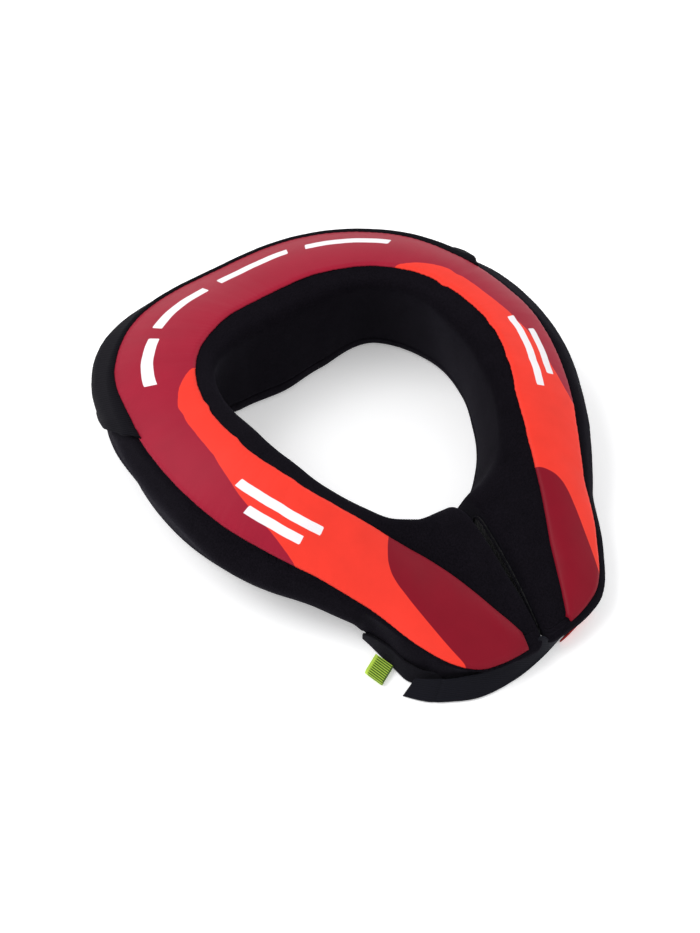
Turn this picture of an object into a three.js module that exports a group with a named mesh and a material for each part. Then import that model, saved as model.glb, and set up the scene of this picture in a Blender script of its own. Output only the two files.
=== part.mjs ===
import * as THREE from 'three';
import { mergeVertices } from 'three/addons/utils/BufferGeometryUtils.js';

// Padded neck collar. Lengths in millimetres, +Z up, back of the neck towards +Y, slit towards -Y.

// Overall sizes
const reach = 130;
const rise = 66;
const stations = 76;
const roundSteps = 3;
const innerSteps = 4;
const underSteps = 5;

// Padded collar
const innerFootRound = 7;
const crestRound = 13;
const edgeRound = 9;
const lipRound = 9;
const outerFootRound = 8;
const lipOut = 6;
const lipDrop = 11;
const crown = 2.2;
const rimSkew = 5;
const rimSkewSpan = [150, 162, 178];
const lipTuck = 3;
const lipTuckSpan = [112, 137, 162];
const bulgeLeft = 8;
const bulgeLeftSpan = [2, 33, 58];
const bulgeRight = 9;
const bulgeRightSpan = [42, 78, 122];
const bulgeFront = 2.6;
const bulgeFrontSpan = [145, 162, 178];
const hugStart = 142;
const hugFull = 148;
const hugEnd = 176;
const hugEase = 0.7;
const slitHalfAtHole = 3.9;
const slitHalfAtFront = 1.1;
const slitStart = 140;
const slitDrift = -6;
const slitShiftAtHole = 4;
const slitShiftAtFront = -1.4;
const slitBow = 3;
const slitShiftStart = 172;
const driftStart = 125;
const driftFull = 162;
const endRound = 4;
const faceShares = [0.25, 0.5, 0.78];
const endShares = [1, 0.55, 0.2];

// Printed panel, set into the top of the collar
const panelThick = 1.2;
const panelGap = 0.3;
const panelSink = 1.2;
const panelMargin = 0.6;
const panelSteps = 7;
const panelTipLeft = -176.3;
const panelTipRight = 174.8;

// Overlays and fittings
const clearance = 0.3;
const bandThick = 1.3;
const bandEndLeft = -74.5;
const bandEndRight = 73;
const bandSlant = 0.25;
const bandEase = 0.2;
const bandFoot = 6;
const strapThick = 1.8;
const strapCut = 2.3;
const cutRun = 6;
const patchThick = 1.4;
const tabWidth = 10.5;
const tabLength = 11;
const tabRibbon = 0.9;
const tabInside = 1;
const tabTurn = -148.7;
const tabHeading = 190;
const tabSkew = 0.27;
const tabDip = 3;
const tabClear = 1.1;
const stripThick = 1.2;
const stripStart = 7;
const stripEnd = 4;
const stripBelow = 5.5;
const stripTall = 13;
const stripFoot = 3;
const stripRound = 7;
const badgeThick = 0.9;

// Half of the ring, from the middle of the back (turn 0) to the slit (turn 180).
// "out" columns are shares of the reach, measured from the middle of the neck opening;
// "up" columns are shares of the rise.
const ring = [
  { turn: 0, footIn: 0.47, crestOut: 0.49, crestUp: 0.84, rimOut: 0.99, rimUp: 0.59, rim: 0.004, footOut: 0.98 },
  { turn: 22, footIn: 0.53, crestOut: 0.51, crestUp: 0.87, rimOut: 1, rimUp: 0.65, rim: 0.004, footOut: 1.02 },
  { turn: 45, footIn: 0.67, crestOut: 0.54, crestUp: 0.915, rimOut: 0.955, rimUp: 0.745, rim: 0.015, footOut: 1 },
  { turn: 67, footIn: 0.63, crestOut: 0.51, crestUp: 0.96, rimOut: 0.87, rimUp: 0.81, rim: 0.03, footOut: 0.85 },
  { turn: 90, footIn: 0.55, crestOut: 0.47, crestUp: 0.965, rimOut: 0.835, rimUp: 0.79, rim: 0.025, footOut: 0.795 },
  { turn: 112, footIn: 0.49, crestOut: 0.485, crestUp: 0.915, rimOut: 0.83, rimUp: 0.69, rim: 0.055, footOut: 0.765 },
  { turn: 130, footIn: 0.475, crestOut: 0.53, crestUp: 0.825, rimOut: 0.85, rimUp: 0.58, rim: 0.045, footOut: 0.765 },
  { turn: 145, footIn: 0.47, crestOut: 0.58, crestUp: 0.73, rimOut: 0.92, rimUp: 0.435, rim: 0.03, footOut: 0.86 },
  { turn: 157, footIn: 0.47, crestOut: 0.62, crestUp: 0.675, rimOut: 1.06, rimUp: 0.31, rim: 0.02, footOut: 1.02 },
  { turn: 168, footIn: 0.48, crestOut: 0.62, crestUp: 0.64, rimOut: 1.19, rimUp: 0.225, rim: 0.02, footOut: 1.04 },
  { turn: 175, footIn: 0.48, crestOut: 0.615, crestUp: 0.62, rimOut: 1.205, rimUp: 0.205, rim: 0.02, footOut: 1.04 },
  { turn: 180, footIn: 0.485, crestOut: 0.615, crestUp: 0.605, rimOut: 1.205, rimUp: 0.2, rim: 0.02, footOut: 1.045 },
];

// Inner edge of the panel. The two front ends differ: the left one is broader.
const innerBack = [
  { turn: 0, out: 0.6, up: 0.9 },
  { turn: 22, out: 0.615, up: 0.93 },
  { turn: 45, out: 0.625, up: 0.97 },
  { turn: 67, out: 0.61, up: 1 },
  { turn: 90, out: 0.59, up: 1 },
  { turn: 112, out: 0.595, up: 0.96 },
];
const innerLeft = [
  ...innerBack,
  { turn: 130, out: 0.625, up: 0.865 },
  { turn: 143, out: 0.655, up: 0.74 },
  { turn: 154, out: 0.695, up: 0.59 },
  { turn: 162, out: 0.742, up: 0.478 },
  { turn: 168, out: 0.828, up: 0.412 },
  { turn: 172, out: 0.935, up: 0.35 },
  { turn: 175, out: 1.08, up: 0.28 },
  { turn: 177, out: 1.16, up: 0.23 },
  { turn: 180, out: 1.17, up: 0.225 },
];
const innerRight = [
  ...innerBack,
  { turn: 130, out: 0.615, up: 0.865 },
  { turn: 144, out: 0.682, up: 0.732 },
  { turn: 151, out: 0.742, up: 0.637 },
  { turn: 158, out: 0.823, up: 0.523 },
  { turn: 166, out: 0.944, up: 0.395 },
  { turn: 170, out: 1.04, up: 0.315 },
  { turn: 173, out: 1.13, up: 0.26 },
  { turn: 175, out: 1.188, up: 0.214 },
  { turn: 180, out: 1.19, up: 0.213 },
];

// Lower edge of the strap and of the patch beside it; turns left of the slit are negative.
// "under" is how far the upper edge tucks in from the lower edge, "up" how high the upper edge lies.
const strapRun = [
  { turn: -152, out: 1.178, under: 0.015, up: 0.118 },
  { turn: -157, out: 1.247, under: 0.052, up: 0.13 },
  { turn: -163, out: 1.27, under: 0.047, up: 0.13 },
  { turn: -170, out: 1.25, under: 0.03, up: 0.12 },
  { turn: -176, out: 1.219, under: 0.008, up: 0.105 },
  { turn: -184, out: 1.172, under: -0.035, up: 0.1 },
  { turn: -192, out: 1.13, under: -0.055, up: 0.105 },
  { turn: -198, out: 1.088, under: -0.045, up: 0.11 },
  { turn: -201.5, out: 1.06, under: -0.035, up: 0.105 },
];
const patchRun = [
  { turn: -144, out: 0.915, under: -0.02, up: 0.09 },
  { turn: -145.5, out: 0.945, under: -0.005, up: 0.115 },
  { turn: -148, out: 1.012, under: 0.02, up: 0.125 },
  { turn: -150, out: 1.068, under: 0.034, up: 0.125 },
  { turn: -152, out: 1.13, under: 0.036, up: 0.125 },
  { turn: -155, out: 1.165, under: 0.02, up: 0.12 },
  { turn: -158, out: 1.188, under: 0.02, up: 0.11 },
];
const radians = Math.PI / 180;

// Smooth value of one column between two rows, without overshoot.
function between(rows, column, turn) {
  const down = rows[0].turn > rows[rows.length - 1].turn;
  const list = down ? [...rows].reverse() : rows;
  const last = list.length - 1;
  if (turn <= list[0].turn) return list[0][column];
  if (turn >= list[last].turn) return list[last][column];
  const slopes = [];
  for (let i = 0; i < last; i += 1) {
    slopes.push((list[i + 1][column] - list[i][column]) / (list[i + 1].turn - list[i].turn));
  }
  const tangent = (i) => {
    if (i === 0) return rows[0].turn === 0 ? 0 : slopes[0];
    if (i === last) return rows[0].turn === 0 ? 0 : slopes[last - 1];
    const product = slopes[i - 1] * slopes[i];
    return product <= 0 ? 0 : (2 * product) / (slopes[i - 1] + slopes[i]);
  };
  let i = 0;
  while (turn > list[i + 1].turn) i += 1;
  const width = list[i + 1].turn - list[i].turn;
  const t = (turn - list[i].turn) / width;
  const startWeight = 1 - 3 * t * t + 2 * t * t * t;
  const startPull = (t - 2 * t * t + t * t * t) * width;
  const endPull = (t * t * t - t * t) * width;
  const value = startWeight * list[i][column] + (1 - startWeight) * list[i + 1][column];
  return value + startPull * tangent(i) + endPull * tangent(i + 1);
}

function smooth(from, to, value) {
  const t = Math.min(Math.max((value - from) / (to - from), 0), 1);
  return t * t * (3 - 2 * t);
}

// A point of the section at a signed turn, out from the middle of the opening and up.
// The ring's front bends a little to one side; the strap and what is sewn to it lie straight.
function place(turn, out, up, bends = true) {
  const size = Math.abs(turn);
  const side = turn < 0 ? -1 : 1;
  const frontOut = ring[ring.length - 1].rimOut * reach;
  const holeOut = ring[ring.length - 1].crestOut * reach;
  const share = (out - holeOut) / (frontOut - holeOut);
  const near = smooth(slitStart, 180, Math.min(size, 360 - size));
  const nearDrift = smooth(driftStart, driftFull, Math.min(size, 360 - size));
  const half = slitHalfAtHole + (slitHalfAtFront - slitHalfAtHole) * share;
  const crossed = size > 180 ? -1 : 1;
  const apart = side * crossed * half * near;
  const drift = slitDrift * share * nearDrift;
  const bow = slitBow * 4 * share * (1 - share);
  const shift = slitShiftAtHole + (slitShiftAtFront - slitShiftAtHole) * share + bow;
  const bend = apart + drift + shift * smooth(slitShiftStart, 180, size);
  const x = out * Math.sin(turn * radians) + (bends ? bend : 0);
  return [x, out * Math.cos(turn * radians), up];
}

// Rises from 0 to 1 and falls back over three turns.
function swell([start, peak, end], size) {
  return smooth(start, peak, size) * (1 - smooth(peak, end, size));
}

// How far out the collar may come behind the patch and the strap.
function insideStrap(turn) {
  const behind = (rows, thick, at) => (between(rows, 'out', at) - between(rows, 'under', at)) * reach - thick - clearance;
  let out = reach;
  for (let i = 0; i < 6; i += 1) {
    // The bend shifts a point, so the distance is looked up where the point comes to lie.
    const [x, y] = place(turn, out, 0);
    const seen = Math.atan2(x, y) / radians;
    const past = smooth(155.5, 158, -seen);
    const limit = behind(patchRun, patchThick, seen) * (1 - past) + behind(strapRun, strapThick, seen) * past;
    out += limit - Math.hypot(x, y);
  }
  return out - hugEase;
}

// Corners of one section, each with its rounding.
function corners(turn) {
  const size = Math.abs(turn);
  const at = (column) => between(ring, column, size);
  const isLeft = turn < 0;
  const innerRows = isLeft ? innerLeft : innerRight;
  const inner = [between(innerRows, 'out', size) * reach, between(innerRows, 'up', size) * rise];
  const rimShift = isLeft ? rimSkew * swell(rimSkewSpan, size) : 0;
  const outer = [at('rimOut') * reach + rimShift, at('rimUp') * rise];
  const rim = at('rim') * reach;
  const run = Math.hypot(outer[0] - inner[0], outer[1] - inner[1]);
  const slope = [(outer[0] - inner[0]) / run, (outer[1] - inner[1]) / run];
  const edge = [outer[0] + slope[0] * rim, outer[1] + slope[1] * rim];
  const lean = smooth(lipDrop, lipDrop * 3, edge[1]);
  // On the left the foot is drawn out to the patch and the strap.
  const hug = isLeft ? smooth(hugStart, hugFull, size) * (1 - smooth(hugEnd - 8, hugEnd, size)) : 0;
  const lip = [edge[0] + lipOut * lean, edge[1] - lipDrop * Math.max(0.3, lean)];
  const foot = at('footOut') * reach;
  if (isLeft) lip[0] += bulgeLeft * swell(bulgeLeftSpan, size) - lipTuck * swell(lipTuckSpan, size);
  else lip[0] += bulgeRight * swell(bulgeRightSpan, size) + bulgeFront * swell(bulgeFrontSpan, size);
  if (hug > 0) lip[0] += (insideStrap(turn) - lip[0]) * hug;
  return {
    footIn: [at('footIn') * reach, 0],
    crest: [at('crestOut') * reach, at('crestUp') * rise],
    inner,
    outer,
    edge,
    lip,
    footOut: [foot + (lip[0] - 1.5 - foot) * hug, 0],
  };
}

// Rounded corner between its two neighbours.
function rounded(before, corner, after, radius) {
  const points = [];
  const toBefore = [before[0] - corner[0], before[1] - corner[1]];
  const toAfter = [after[0] - corner[0], after[1] - corner[1]];
  const lengthBefore = Math.hypot(...toBefore);
  const lengthAfter = Math.hypot(...toAfter);
  const cut = Math.min(radius, lengthBefore * 0.45, lengthAfter * 0.45);
  const start = [corner[0] + (toBefore[0] / lengthBefore) * cut, corner[1] + (toBefore[1] / lengthBefore) * cut];
  const end = [corner[0] + (toAfter[0] / lengthAfter) * cut, corner[1] + (toAfter[1] / lengthAfter) * cut];
  for (let i = 0; i <= roundSteps; i += 1) {
    const t = i / roundSteps;
    const a = (1 - t) * (1 - t);
    const b = 2 * t * (1 - t);
    const c = t * t;
    points.push([a * start[0] + b * corner[0] + c * end[0], a * start[1] + b * corner[1] + c * end[1]]);
  }
  return points;
}

// Points between two others on a straight line.
function along(from, to, steps) {
  const points = [];
  for (let i = 1; i < steps; i += 1) {
    const t = i / steps;
    points.push([from[0] + (to[0] - from[0]) * t, from[1] + (to[1] - from[1]) * t]);
  }
  return points;
}

// The crowned line of the top between the two edges of the panel.
function topPoint(c, share, lift) {
  const run = [c.outer[0] - c.inner[0], c.outer[1] - c.inner[1]];
  const length = Math.hypot(...run);
  const bow = crown * Math.min(1, length / 30) * 4 * share * (1 - share);
  const normal = [-run[1] / length, run[0] / length];
  return [
    c.inner[0] + run[0] * share + normal[0] * (bow + lift),
    c.inner[1] + run[1] * share + normal[1] * (bow + lift),
  ];
}

function panelShare(i, c) {
  const length = Math.hypot(c.outer[0] - c.inner[0], c.outer[1] - c.inner[1]);
  const margin = Math.min(0.3, panelMargin / length);
  return margin + ((1 - 2 * margin) * i) / panelSteps;
}

function sinkAt(turn) {
  const tip = Math.abs(turn < 0 ? panelTipLeft : panelTipRight);
  return panelSink * (1 - smooth(tip - 4, tip + 1, Math.abs(turn)));
}

// Closed outline of the collar's section, inner foot first, over the top and down the outer side.
function collarSection(turn) {
  const c = corners(turn);
  const sink = sinkAt(turn);
  const points = [];
  points.push(...rounded(c.footOut, c.footIn, c.crest, innerFootRound));
  const crest = rounded(c.footIn, c.crest, c.inner, crestRound);
  points.push(...crest);
  points.push(...along(crest[crest.length - 1], topPoint(c, 0, 0), innerSteps));
  points.push(topPoint(c, 0, 0));
  for (let i = 0; i <= panelSteps; i += 1) {
    points.push(topPoint(c, panelShare(i, c), -sink));
  }
  points.push(topPoint(c, 1, 0));
  points.push(...rounded(c.outer, c.edge, c.lip, edgeRound));
  points.push(...rounded(c.edge, c.lip, c.footOut, lipRound));
  points.push(...rounded(c.lip, c.footOut, c.footIn, outerFootRound));
  points.push(...along(points[points.length - 1], points[0], underSteps));
  return points;
}

// The section drawn in towards its own middle, for the rounded ends at the slit.
function drawnIn(points, inset) {
  const middle = points.reduce((sum, p) => [sum[0] + p[0] / points.length, sum[1] + p[1] / points.length], [0, 0]);
  return points.map((p) => {
    const arm = [p[0] - middle[0], p[1] - middle[1]];
    const length = Math.hypot(...arm);
    const keep = Math.max(0, length - inset) / length;
    return [middle[0] + arm[0] * keep, middle[1] + arm[1] * keep];
  });
}

// A closed body from rings of points. A solid is capped from the middle of its end rings,
// a sheet across from its under face to its upper face.
function body(rings, sheet = false) {
  const count = rings[0].length;
  const positions = rings.flat(2);
  const index = [];
  for (let s = 0; s < rings.length - 1; s += 1) {
    for (let i = 0; i < count; i += 1) {
      const next = (i + 1) % count;
      const a = s * count + i;
      const b = s * count + next;
      const c = (s + 1) * count + i;
      const d = (s + 1) * count + next;
      index.push(a, c, b, b, c, d);
    }
  }
  const sheetCap = (s, flip) => {
    for (let i = 0; i < count / 2 - 1; i += 1) {
      const a = s * count + i;
      const b = s * count + i + 1;
      const c = s * count + count - 2 - i;
      const d = s * count + count - 1 - i;
      if (flip) index.push(a, c, b, a, d, c);
      else index.push(a, b, c, a, c, d);
    }
  };
  const solidCap = (s, flip) => {
    const middle = [0, 0, 0];
    rings[s].forEach((p) => p.forEach((value, axis) => { middle[axis] += value / count; }));
    const centre = positions.length / 3;
    positions.push(...middle);
    for (let i = 0; i < count; i += 1) {
      const a = s * count + i;
      const b = s * count + ((i + 1) % count);
      if (flip) index.push(centre, b, a);
      else index.push(centre, a, b);
    }
  };
  const cap = sheet ? sheetCap : solidCap;
  cap(0, false);
  cap(rings.length - 1, true);
  const geometry = new THREE.BufferGeometry();
  geometry.setAttribute('position', new THREE.Float32BufferAttribute(positions, 3));
  geometry.setIndex(index);
  const faced = outward(geometry);
  faced.computeVertexNormals();
  return faced;
}

// Turns the faces over when they enclose a negative volume.
function outward(geometry) {
  const p = geometry.getAttribute('position');
  const index = geometry.getIndex().array;
  const a = new THREE.Vector3();
  const b = new THREE.Vector3();
  const c = new THREE.Vector3();
  let volume = 0;
  for (let i = 0; i < index.length; i += 3) {
    a.fromBufferAttribute(p, index[i]);
    b.fromBufferAttribute(p, index[i + 1]);
    c.fromBufferAttribute(p, index[i + 2]);
    volume += a.dot(b.cross(c));
  }
  if (volume < 0) {
    for (let i = 0; i < index.length; i += 3) {
      const keep = index[i + 1];
      index[i + 1] = index[i + 2];
      index[i + 2] = keep;
    }
  }
  return geometry;
}

function turnsBetween(from, to, steps) {
  return Array.from({ length: steps + 1 }, (_, i) => from + ((to - from) * i) / steps);
}

// The sections that every piece round the ring shares
const roundTurn = (endRound / (ring[ring.length - 1].rimOut * reach) / radians) * 1.3;
const mainTurns = [-180 + roundTurn, ...turnsBetween(panelTipLeft, panelTipRight, stations), 180 - roundTurn];

function turnsWithin(from, to) {
  const step = mainTurns[2] - mainTurns[1];
  const spare = Math.min(step / 2, 1);
  return mainTurns.filter((turn) => turn > from - spare && turn < to + spare);
}

// One rounded end: small rings over its bent face, then the rounding out to the full section.
function roundedEnd(side) {
  const faceLoop = drawnIn(collarSection(180), endRound);
  const middle = faceLoop.reduce((sum, p) => [sum[0] + p[0] / faceLoop.length, sum[1] + p[1] / faceLoop.length], [0, 0]);
  const rings = faceShares.map((share) => faceLoop.map(([out, up]) => {
    const a = middle[0] + (out - middle[0]) * share;
    const b = middle[1] + (up - middle[1]) * share;
    return place(side * 180, a, b);
  }));
  endShares.forEach((share) => {
    const inset = endRound * (1 - Math.sqrt(1 - share * share));
    const turn = side * (180 - roundTurn * (1 - share));
    rings.push(drawnIn(collarSection(turn), inset).map(([out, up]) => place(turn, out, up)));
  });
  return rings;
}

// Padded collar
function paddedCollar() {
  const middle = mainTurns.map((turn) => collarSection(turn).map(([out, up]) => place(turn, out, up)));
  return body([...roundedEnd(-1), ...middle, ...roundedEnd(1).reverse()]);
}

// Printed panel over the sloping top
function printedPanel() {
  const rings = turnsWithin(panelTipLeft, panelTipRight).map((turn) => {
    const c = corners(turn);
    const low = -sinkAt(turn) + panelGap;
    const points = [];
    for (let i = 0; i <= panelSteps; i += 1) points.push(topPoint(c, panelShare(i, c) * 0.98 + 0.01, low));
    for (let i = panelSteps; i >= 0; i -= 1) points.push(topPoint(c, panelShare(i, c) * 0.98 + 0.01, low + panelThick));
    return points.map(([out, up]) => place(turn, out, up));
  });
  return body(rings, true);
}

// The outer wall from the panel's edge over the rim and down to just above the floor.
function outerWall(turn) {
  const c = corners(turn);
  const wall = [topPoint(c, 1, 0)];
  wall.push(...rounded(c.outer, c.edge, c.lip, edgeRound));
  wall.push(...rounded(c.edge, c.lip, c.footOut, lipRound));
  const foot = rounded(c.lip, c.footOut, c.footIn, outerFootRound)[0];
  const last = wall[wall.length - 1];
  const share = (last[1] - Math.max(bandFoot, foot[1] + 0.5)) / (last[1] - foot[1]);
  wall.push([last[0] + (foot[0] - last[0]) * share, last[1] + (foot[1] - last[1]) * share]);
  return wall;
}

// Back band over that wall; its two ends slant back towards the floor.
function backBand() {
  const rings = turnsWithin(bandEndLeft, bandEndRight).map((turn) => {
    const offset = (i, distance) => {
      const count = outerWall(0).length - 1;
      const slanted = turn * (1 - (bandSlant * i) / count);
      const wall = outerWall(slanted);
      const before = wall[Math.max(0, i - 1)];
      const after = wall[Math.min(count, i + 1)];
      const run = [after[0] - before[0], after[1] - before[1]];
      const length = Math.hypot(...run);
      const out = wall[i][0] - (run[1] / length) * distance;
      return place(slanted, out, wall[i][1] + (run[0] / length) * distance);
    };
    const steps = outerWall(turn).map((_, i) => i);
    const under = steps.map((i) => offset(i, clearance + bandEase));
    const over = steps.map((i) => offset(i, clearance + bandEase + bandThick)).reverse();
    return [...under, ...over];
  });
  return body(rings, true);
}

// A flat strip round the front. Its outer face runs from a lower edge to an upper edge;
// "off" sets it off the face that the rows give, and the two shares say which part of it to cover.
// "cut" slants the end: its lower corner runs on by that many degrees.
function leaning(rows, from, to, steps, thick, off = 0, lowShare = 0, highShare = 1, cut = 0) {
  const rings = turnsBetween(from, to, steps).map((turn) => {
    const out = between(rows, 'out', turn) * reach;
    const under = between(rows, 'under', turn) * reach;
    const up = between(rows, 'up', turn) * rise;
    const length = Math.hypot(under, up);
    const normal = [up / length, under / length];
    const foot = Math.max(0, normal[1] * (thick - off));
    const face = (share, depth) => [
      out - under * share + normal[0] * (off - depth),
      foot + up * share + normal[1] * (off - depth),
    ];
    const points = [face(lowShare, thick), face(lowShare, 0), face(highShare, 0), face(highShare, thick)];
    const slant = cut * Math.max(0, 1 - Math.abs(to - turn) / cutRun);
    return points.map(([a, b], i) => place(i < 2 ? turn + slant : turn, a, b, false));
  });
  return body(rings, true);
}

// Ribbon loop: one ribbon folded on itself, flat near the floor, pointing away from the patch.
function pullTab() {
  const half = tabInside / 2;
  const outerHalf = half + tabRibbon;
  const profile = new THREE.Shape();
  profile.moveTo(0, -outerHalf);
  profile.lineTo(tabLength - outerHalf, -outerHalf);
  profile.absarc(tabLength - outerHalf, 0, outerHalf, -Math.PI / 2, Math.PI / 2, false);
  profile.lineTo(0, outerHalf);
  profile.lineTo(0, half);
  profile.lineTo(tabLength - outerHalf, half);
  profile.absarc(tabLength - outerHalf, 0, half, Math.PI / 2, -Math.PI / 2, true);
  profile.lineTo(0, -half);
  profile.closePath();
  const geometry = new THREE.ExtrudeGeometry(profile, { depth: tabWidth, bevelEnabled: false, curveSegments: 5 });
  geometry.translate(0, 0, -tabWidth / 2);
  geometry.rotateX(Math.PI / 2);
  geometry.applyMatrix4(new THREE.Matrix4().makeShear(tabSkew, 0, 0, 0, 0, 0));
  geometry.rotateY(tabDip * radians);
  geometry.rotateZ(tabHeading * radians);
  const root = place(tabTurn, between(patchRun, 'out', tabTurn) * reach + clearance, 0, false);
  geometry.translate(root[0] - tabClear, root[1], outerHalf + tabLength * Math.sin(tabDip * radians) + clearance);
  geometry.deleteAttribute('normal');
  geometry.deleteAttribute('uv');
  const merged = mergeVertices(geometry, 1e-3);
  merged.computeVertexNormals();
  return merged;
}

// Hook strip on the right end's face inside the slit, rounded at its end near the opening.
function hookStrip() {
  const c = corners(180);
  const topAt = (out) => {
    const share = (out - c.crest[0]) / (c.inner[0] - c.crest[0]);
    return c.crest[1] + (c.inner[1] - c.crest[1]) * share;
  };
  const from = c.crest[0] + stripStart;
  const to = c.inner[0] - stripEnd;
  const steps = 12;
  const rings = [];
  for (let i = 0; i <= steps; i += 1) {
    const share = Math.pow(i / steps, 1.6);
    const out = from + (to - from) * share;
    const upper = topAt(out) - stripBelow;
    const lower = Math.max(stripFoot, upper - stripTall);
    const middle = (upper + lower) / 2;
    const roundness = Math.min(1, (out - from) / stripRound);
    const half = ((upper - lower) / 2) * Math.sqrt(1 - (1 - roundness) * (1 - roundness) * 0.9);
    const face = place(180, out, middle);
    const near = face[0] - clearance;
    const far = near - stripThick;
    rings.push([
      [near, face[1], middle - half],
      [far, face[1], middle - half],
      [far, face[1], middle + half],
      [near, face[1], middle + half],
    ]);
  }
  return body(rings, true);
}

function piece(name, geometry, colour, roughness) {
  const material = new THREE.MeshStandardMaterial({ color: colour, roughness, metalness: 0 });
  const mesh = new THREE.Mesh(mergeVertices(geometry), material);
  mesh.name = name;
  return mesh;
}

const collar = new THREE.Group();
collar.name = 'neck_roll';
collar.add(piece('padded_collar', paddedCollar(), '#18161c', 0.95));
collar.add(piece('printed_panel', printedPanel(), '#d8352f', 0.6));
collar.add(piece('back_band', backBand(), '#1f1e23', 0.8));
collar.add(piece('loop_patch', leaning(patchRun, -158, -144, 11, patchThick, 0), '#26252b', 0.85));
collar.add(piece('pull_tab', pullTab(), '#b4d63c', 0.7));
collar.add(piece('hook_strip', hookStrip(), '#121216', 0.8));
collar.add(piece('strap_badge', leaning(strapRun, -191, -181.5, 6, badgeThick, badgeThick + clearance + 0.3, 0.15, 1.05), '#e0413a', 0.6));
collar.add(piece('front_strap', leaning(strapRun, -201.5, -153, 28, strapThick, 0, 0, 1, strapCut), '#17171f', 0.75));

const bounds = new THREE.Box3().setFromObject(collar);
const middle = bounds.getCenter(new THREE.Vector3());
collar.children.forEach((mesh) => mesh.geometry.translate(-middle.x, -middle.y, -bounds.min.z));

export default collar;
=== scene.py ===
"""Padded neck roll: a foam collar in fleece, with a printed top panel, a back band and a closing strap."""

import functools
import math

import bpy
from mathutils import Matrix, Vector


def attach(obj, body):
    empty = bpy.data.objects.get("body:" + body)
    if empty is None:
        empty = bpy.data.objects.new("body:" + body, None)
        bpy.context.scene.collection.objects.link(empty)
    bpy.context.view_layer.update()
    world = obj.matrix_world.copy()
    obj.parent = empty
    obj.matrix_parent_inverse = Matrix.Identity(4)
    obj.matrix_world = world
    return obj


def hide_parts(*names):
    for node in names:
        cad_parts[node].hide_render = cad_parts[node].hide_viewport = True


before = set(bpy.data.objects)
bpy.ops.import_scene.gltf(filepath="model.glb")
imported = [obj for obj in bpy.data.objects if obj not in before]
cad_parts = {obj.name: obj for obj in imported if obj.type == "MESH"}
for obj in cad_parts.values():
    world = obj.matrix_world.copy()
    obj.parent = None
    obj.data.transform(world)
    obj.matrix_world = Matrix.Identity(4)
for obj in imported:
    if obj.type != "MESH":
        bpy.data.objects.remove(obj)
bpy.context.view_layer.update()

# Padded collar
# A ring of soft moulded foam in brushed polyester fleece, open at the front. The fleece is glued to
# the foam and sewn to the base with a seam just above the ground, and the top has a bed for the panel.
MM = 0.001
NECK_CENTRE = (-3.6, 12.01)
REACH = 130
RISE = 66
INNER_FOOT_ROUND = 7
CREST_ROUND = 13
EDGE_ROUND = 9
LIP_ROUND = 9
OUTER_FOOT_ROUND = 8
LIP_OUT = 6
LIP_DROP = 11
CROWN = 2.2
RIM_SKEW = 5
RIM_SKEW_SPAN = (150, 162, 178)
LIP_TUCK = 3
LIP_TUCK_SPAN = (112, 137, 162)
BULGE_LEFT = 8
BULGE_LEFT_SPAN = (2, 33, 58)
BULGE_RIGHT = 9
BULGE_RIGHT_SPAN = (42, 78, 122)
BULGE_FRONT = 2.6
BULGE_FRONT_SPAN = (145, 162, 178)
LIP_LEAST = 0.3
# Where the collar's wall keeps behind the strap and the patch: turns, passes of the fit, ease
HUG_START = 142
HUG_FULL = 148
HUG_END = 176
HUG_FADE = 8
HUG_PASSES = 6
HUG_EASE = 0.7
HUG_FOOT = 1.5
PATCH_TO_STRAP = (155.5, 158)
SLIT_HALF_AT_HOLE = 3.9
SLIT_HALF_AT_FRONT = 1.1
SLIT_START = 140
SLIT_DRIFT = -6
SLIT_SHIFT_AT_HOLE = 4
SLIT_SHIFT_AT_FRONT = -1.4
SLIT_BOW = 3
SLIT_SHIFT_START = 172
DRIFT_START = 125
DRIFT_FULL = 162
END_ROUND = 4
END_TURN = 1.3
CORNER_LIMIT = 0.45
CROWN_FULL = 30
PANEL_SINK = 1.2
PANEL_TIP_LEFT = -176.3
PANEL_TIP_RIGHT = 174.8
TIP_FADE_BEFORE = 4
TIP_FADE_AFTER = 1
# The bed that the panel is sewn into: depth of its edges, extra depth of its floor, shares across it
BED_EDGE = 0.35
BED_FLOOR = 0.9
BED_SHARES = (0.002, 0.03, 0.2, 0.4, 0.6, 0.8, 0.97, 0.998)
STRAP_THICK = 1.8
PATCH_THICK = 1.4
CLEARANCE = 0.3
SEAM_ABOVE_FOOT = 2.5
SEAM_DEPTH = 0.7
SEAM_ROOM = 1.6
# Across the sewn groove: distance from the stitch line and depth, the cloth a little proud beside it
SEAM_GROOVE = ((-1.3, 0.0), (-0.6, -0.12), (-0.2, SEAM_DEPTH), (0.2, SEAM_DEPTH), (0.6, -0.12), (1.3, 0.0))
# Unevenness of the sewn lines: millimetres, waves by turn, share of the line's own phase
WANDER = ((0.1, 0.31, 1), (0.07, 0.83, 2.1), (0.05, 2.3, 3.7))
INNER_PHASE = 1.3
RIM_PHASE = 4.1
RIM_WANDER = 0.6
WANDER_FADE = (150, 170)
SLOW_DENT = 0.16
QUICK_DENT = 0.1
DENT_START = 3
DENT_FULL = 12
COLLAR_STATIONS = 330

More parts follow.
